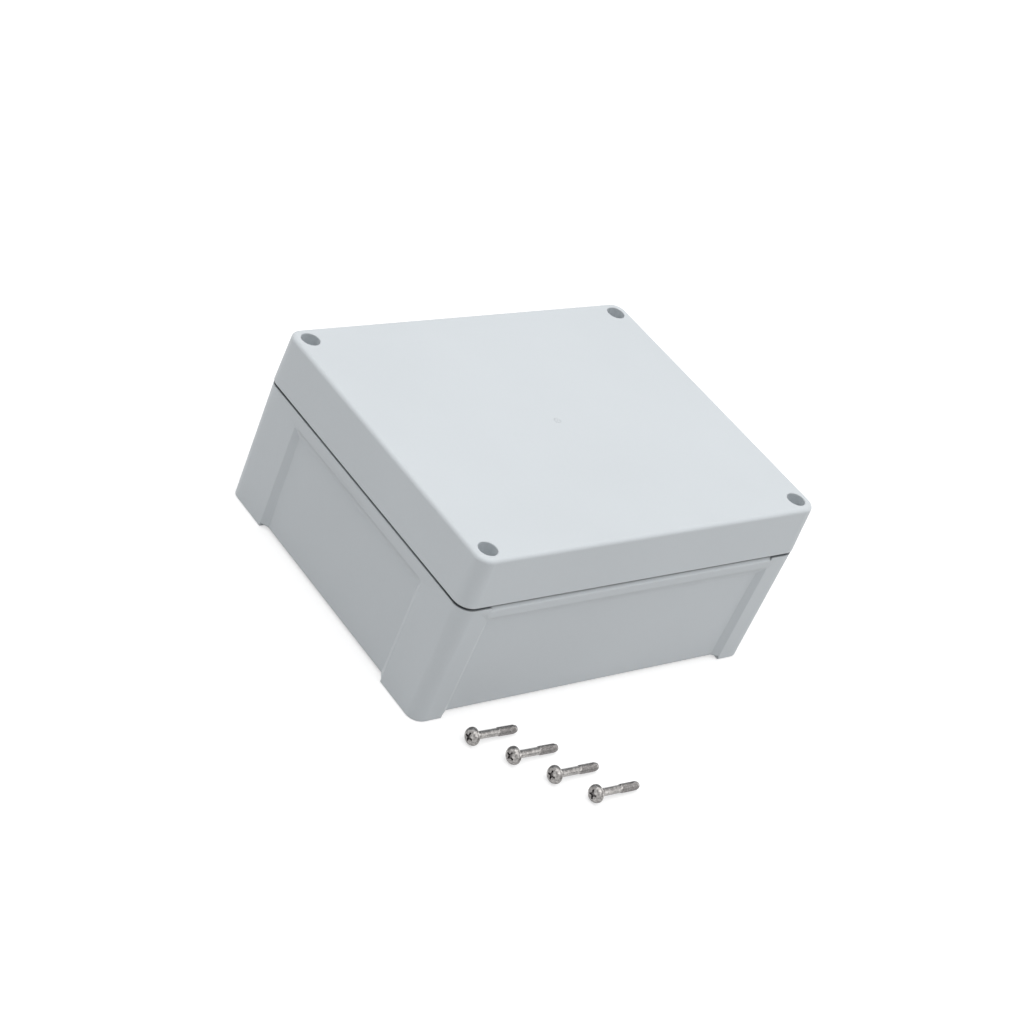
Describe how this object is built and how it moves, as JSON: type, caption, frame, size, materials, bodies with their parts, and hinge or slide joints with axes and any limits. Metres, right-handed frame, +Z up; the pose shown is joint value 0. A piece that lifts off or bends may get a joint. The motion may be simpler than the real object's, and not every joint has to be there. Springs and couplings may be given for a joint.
{
  "type": "plastic project box",
  "caption": "Deep two-piece plastic project box on corner feet, with sunk side panels, a gasketed lift-off lid with corner screw wells, and its loose screws beside it.",
  "frame": {"origin": "middle of the box's footprint, in the plane of the feet's undersides, where it stands on the floor", "axes": "+Z up through the lid, +X along the box's length, +Y towards the back; the loose screws lie on the -Y side"},
  "size_m": [0.24, 0.2713, 0.1095],
  "materials": {
    "box_plastic": "fine satin moulded texture, light grey",
    "gasket_rubber": "soft black sponge rubber",
    "insert_brass": "turned",
    "screw_steel": "plain stainless steel"
  },
  "bodies": {
    "root": {"base": "box_plastic", "gasket": "gasket_rubber", "threaded_insert_1": "insert_brass", "threaded_insert_2": "insert_brass", "threaded_insert_3": "insert_brass", "threaded_insert_4": "insert_brass", "lid_screw_1": "screw_steel", "lid_screw_2": "screw_steel", "lid_screw_3": "screw_steel", "lid_screw_4": "screw_steel"},
    "lid_body": {"lid": "box_plastic"}
  },
  "joints": [
    {"name": "lid_lift", "type": "slide", "parent": "root", "child": "lid_body", "axis": [0, 0, 1], "range_m": [0, 0.12]}
  ]
}
